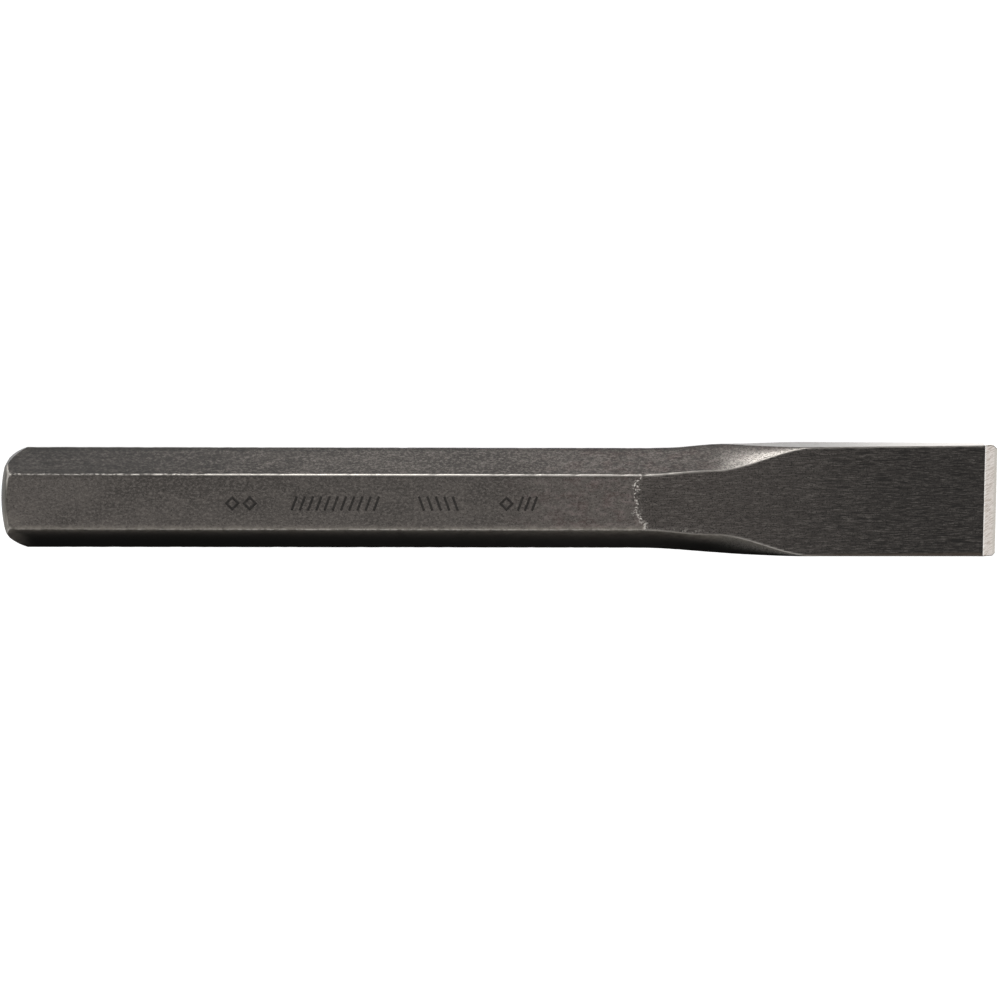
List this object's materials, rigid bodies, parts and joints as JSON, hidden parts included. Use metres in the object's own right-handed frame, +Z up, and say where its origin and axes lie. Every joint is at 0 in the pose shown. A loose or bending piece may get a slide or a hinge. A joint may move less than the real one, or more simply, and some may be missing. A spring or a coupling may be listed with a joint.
{
  "type": "cold chisel",
  "caption": "Flat cold chisel forged in one piece from hexagonal bar, with a blackened shank and a ground edge.",
  "frame": {"origin": "middle of the tool's footprint, on the flat that it lies on", "axes": "+X from the struck end to the cutting edge, +Y across the width of the blade, +Z up through its thickness, towards the marked flat"},
  "size_m": [0.1778, 0.02, 0.0146],
  "materials": {
    "black_steel": "black oxide over forged and brushed steel, worn bright along the ridges and ground bright at the cutting edge"
  },
  "bodies": {
    "root": {"chisel": "black_steel"}
  },
  "joints": []
}
